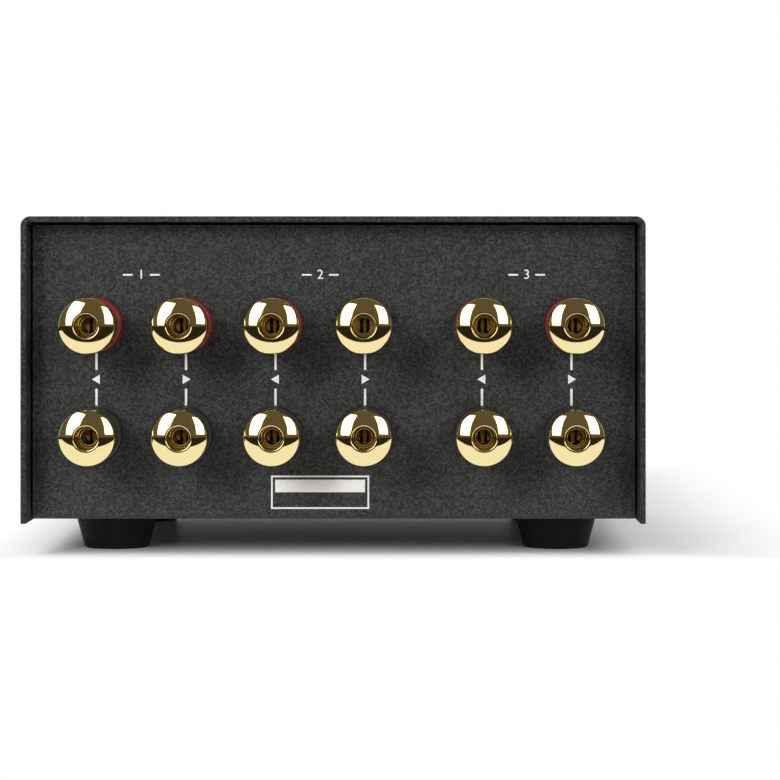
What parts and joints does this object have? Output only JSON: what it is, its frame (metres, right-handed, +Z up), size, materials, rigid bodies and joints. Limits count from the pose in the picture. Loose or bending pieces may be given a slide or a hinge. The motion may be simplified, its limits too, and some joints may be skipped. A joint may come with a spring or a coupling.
{
  "type": "speaker selector switch",
  "caption": "Flat black steel box with a recessed rear panel, two rows of gold binding posts with domed thumb nuts, a rotary selector knob in front and tapered rubber feet.",
  "frame": {"origin": "on the table, under the middle of the bounding box", "axes": "+Z up, the terminal panel faces -Y, the knob faces +Y, +X is to the right seen from the rear"},
  "size_m": [0.169, 0.1914, 0.0902],
  "materials": {
    "black_coat": "fine-textured matte powder coat",
    "front_anodised": "brushed and black anodised",
    "knob_anodised": "turned and black anodised",
    "foot_rubber": "matte moulded rubber",
    "gold_plate": "polished gold plate",
    "red_plastic": "moulded, satin",
    "black_plastic": "moulded, satin",
    "plated_steel": "zinc plated",
    "black_steel": "black oxide",
    "bright_steel": "ground and polished",
    "zinc_casting": "as cast",
    "tinned_brass": "tinned",
    "phenolic": "paper laminate",
    "nylon": "moulded",
    "red_insulation": "extruded PVC",
    "black_insulation": "extruded PVC"
  },
  "bodies": {
    "chassis": {"base_tray": "black_coat", "top_cover": "black_coat", "front_panel": "front_anodised", "foot_rear_left": "foot_rubber", "foot_rear_right": "foot_rubber", "foot_front_left": "foot_rubber", "foot_front_right": "foot_rubber", "foot_screws": "plated_steel", "foot_nuts": "plated_steel", "cover_screws": "black_steel", "front_panel_screws": "plated_steel", "binding_post_stems": "gold_plate", "red_collars": "red_plastic", "black_collars": "black_plastic", "inner_insulators": "black_plastic", "post_washers": "plated_steel", "solder_lugs": "tinned_brass", "post_nuts": "gold_plate", "switch_housing": "zinc_casting", "housing_cover": "plated_steel", "bushing_washer": "plated_steel", "bushing_nut": "plated_steel", "detent_balls": "bright_steel", "detent_springs": "bright_steel", "wafer_stators": "phenolic", "stator_terminals": "tinned_brass", "wafer_spacers": "plated_steel", "tie_screws": "plated_steel", "red_wires": "red_insulation", "black_wires": "black_insulation"},
    "selector": {"selector_knob": "knob_anodised", "knob_set_screw": "black_steel", "switch_shaft": "bright_steel", "detent_wheel": "nylon", "wafer_rotors": "nylon", "rotor_blades": "tinned_brass"},
    "clamp_body_red_1": {"clamp_red_1": "gold_plate"},
    "cap_body_red_1": {"cap_red_1": "gold_plate"},
    "clamp_body_red_2": {"clamp_red_2": "gold_plate"},
    "cap_body_red_2": {"cap_red_2": "gold_plate"},
    "clamp_body_red_3": {"clamp_red_3": "gold_plate"},
    "cap_body_red_3": {"cap_red_3": "gold_plate"},
    "clamp_body_red_4": {"clamp_red_4": "gold_plate"},
    "cap_body_red_4": {"cap_red_4": "gold_plate"},
    "clamp_body_red_5": {"clamp_red_5": "gold_plate"},
    "cap_body_red_5": {"cap_red_5": "gold_plate"},
    "clamp_body_red_6": {"clamp_red_6": "gold_plate"},
    "cap_body_red_6": {"cap_red_6": "gold_plate"},
    "clamp_body_black_1": {"clamp_black_1": "gold_plate"},
    "cap_body_black_1": {"cap_black_1": "gold_plate"},
    "clamp_body_black_2": {"clamp_black_2": "gold_plate"},
    "cap_body_black_2": {"cap_black_2": "gold_plate"},
    "clamp_body_black_3": {"clamp_black_3": "gold_plate"},
    "cap_body_black_3": {"cap_black_3": "gold_plate"},
    "clamp_body_black_4": {"clamp_black_4": "gold_plate"},
    "cap_body_black_4": {"cap_black_4": "gold_plate"},
    "clamp_body_black_5": {"clamp_black_5": "gold_plate"},
    "cap_body_black_5": {"cap_black_5": "gold_plate"},
    "clamp_body_black_6": {"clamp_black_6": "gold_plate"},
    "cap_body_black_6": {"cap_black_6": "gold_plate"}
  },
  "joints": [
    {"name": "selector_turn", "type": "hinge", "parent": "chassis", "child": "selector", "pos_m": [0, 0.0707, 0.0496], "axis": [0, 1, 0], "range_deg": [-30, 30]},
    {"name": "clamp_slide_red_1", "type": "slide", "parent": "chassis", "child": "clamp_body_red_1", "axis": [0, -1, 0], "range_m": [0, 0.00601]},
    {"name": "cap_turn_red_1", "type": "hinge", "parent": "clamp_body_red_1", "child": "cap_body_red_1", "pos_m": [-0.0634, -0.0957, 0.0614], "axis": [0, -1, 0], "range_deg": [0, 2160]},
    {"name": "clamp_slide_red_2", "type": "slide", "parent": "chassis", "child": "clamp_body_red_2", "axis": [0, -1, 0], "range_m": [0, 0.00601]},
    {"name": "cap_turn_red_2", "type": "hinge", "parent": "clamp_body_red_2", "child": "cap_body_red_2", "pos_m": [-0.0395, -0.0957, 0.0614], "axis": [0, -1, 0], "range_deg": [0, 2160]},
    {"name": "clamp_slide_red_3", "type": "slide", "parent": "chassis", "child": "clamp_body_red_3", "axis": [0, -1, 0], "range_m": [0, 0.00601]},
    {"name": "cap_turn_red_3", "type": "hinge", "parent": "clamp_body_red_3", "child": "cap_body_red_3", "pos_m": [-0.0156, -0.0957, 0.0614], "axis": [0, -1, 0], "range_deg": [0, 2160]},
    {"name": "clamp_slide_red_4", "type": "slide", "parent": "chassis", "child": "clamp_body_red_4", "axis": [0, -1, 0], "range_m": [0, 0.00601]},
    {"name": "cap_turn_red_4", "type": "hinge", "parent": "clamp_body_red_4", "child": "cap_body_red_4", "pos_m": [0.0083, -0.0957, 0.0614], "axis": [0, -1, 0], "range_deg": [0, 2160]},
    {"name": "clamp_slide_red_5", "type": "slide", "parent": "chassis", "child": "clamp_body_red_5", "axis": [0, -1, 0], "range_m": [0, 0.00601]},
    {"name": "cap_turn_red_5", "type": "hinge", "parent": "clamp_body_red_5", "child": "cap_body_red_5", "pos_m": [0.0395, -0.0957, 0.0614], "axis": [0, -1, 0], "range_deg": [0, 2160]},
    {"name": "clamp_slide_red_6", "type": "slide", "parent": "chassis", "child": "clamp_body_red_6", "axis": [0, -1, 0], "range_m": [0, 0.00601]},
    {"name": "cap_turn_red_6", "type": "hinge", "parent": "clamp_body_red_6", "child": "cap_body_red_6", "pos_m": [0.0634, -0.0957, 0.0614], "axis": [0, -1, 0], "range_deg": [0, 2160]},
    {"name": "clamp_slide_black_1", "type": "slide", "parent": "chassis", "child": "clamp_body_black_1", "axis": [0, -1, 0], "range_m": [0, 0.00601]},
    {"name": "cap_turn_black_1", "type": "hinge", "parent": "clamp_body_black_1", "child": "cap_body_black_1", "pos_m": [-0.0634, -0.0957, 0.0324], "axis": [0, -1, 0], "range_deg": [0, 2160]},
    {"name": "clamp_slide_black_2", "type": "slide", "parent": "chassis", "child": "clamp_body_black_2", "axis": [0, -1, 0], "range_m": [0, 0.00601]},
    {"name": "cap_turn_black_2", "type": "hinge", "parent": "clamp_body_black_2", "child": "cap_body_black_2", "pos_m": [-0.0395, -0.0957, 0.0324], "axis": [0, -1, 0], "range_deg": [0, 2160]},
    {"name": "clamp_slide_black_3", "type": "slide", "parent": "chassis", "child": "clamp_body_black_3", "axis": [0, -1, 0], "range_m": [0, 0.00601]},
    {"name": "cap_turn_black_3", "type": "hinge", "parent": "clamp_body_black_3", "child": "cap_body_black_3", "pos_m": [-0.0156, -0.0957, 0.0324], "axis": [0, -1, 0], "range_deg": [0, 2160]},
    {"name": "clamp_slide_black_4", "type": "slide", "parent": "chassis", "child": "clamp_body_black_4", "axis": [0, -1, 0], "range_m": [0, 0.00601]},
    {"name": "cap_turn_black_4", "type": "hinge", "parent": "clamp_body_black_4", "child": "cap_body_black_4", "pos_m": [0.0083, -0.0957, 0.0324], "axis": [0, -1, 0], "range_deg": [0, 2160]},
    {"name": "clamp_slide_black_5", "type": "slide", "parent": "chassis", "child": "clamp_body_black_5", "axis": [0, -1, 0], "range_m": [0, 0.00601]},
    {"name": "cap_turn_black_5", "type": "hinge", "parent": "clamp_body_black_5", "child": "cap_body_black_5", "pos_m": [0.0395, -0.0957, 0.0324], "axis": [0, -1, 0], "range_deg": [0, 2160]},
    {"name": "clamp_slide_black_6", "type": "slide", "parent": "chassis", "child": "clamp_body_black_6", "axis": [0, -1, 0], "range_m": [0, 0.00601]},
    {"name": "cap_turn_black_6", "type": "hinge", "parent": "clamp_body_black_6", "child": "cap_body_black_6", "pos_m": [0.0634, -0.0957, 0.0324], "axis": [0, -1, 0], "range_deg": [0, 2160]}
  ],
  "couplings": [
    {"joint": "clamp_slide_red_1", "follows": "cap_turn_red_1", "m_per_rad": 0.00015915},
    {"joint": "clamp_slide_red_2", "follows": "cap_turn_red_2", "m_per_rad": 0.00015915},
    {"joint": "clamp_slide_red_3", "follows": "cap_turn_red_3", "m_per_rad": 0.00015915},
    {"joint": "clamp_slide_red_4", "follows": "cap_turn_red_4", "m_per_rad": 0.00015915},
    {"joint": "clamp_slide_red_5", "follows": "cap_turn_red_5", "m_per_rad": 0.00015915},
    {"joint": "clamp_slide_red_6", "follows": "cap_turn_red_6", "m_per_rad": 0.00015915},
    {"joint": "clamp_slide_black_1", "follows": "cap_turn_black_1", "m_per_rad": 0.00015915},
    {"joint": "clamp_slide_black_2", "follows": "cap_turn_black_2", "m_per_rad": 0.00015915},
    {"joint": "clamp_slide_black_3", "follows": "cap_turn_black_3", "m_per_rad": 0.00015915},
    {"joint": "clamp_slide_black_4", "follows": "cap_turn_black_4", "m_per_rad": 0.00015915},
    {"joint": "clamp_slide_black_5", "follows": "cap_turn_black_5", "m_per_rad": 0.00015915},
    {"joint": "clamp_slide_black_6", "follows": "cap_turn_black_6", "m_per_rad": 0.00015915}
  ]
}
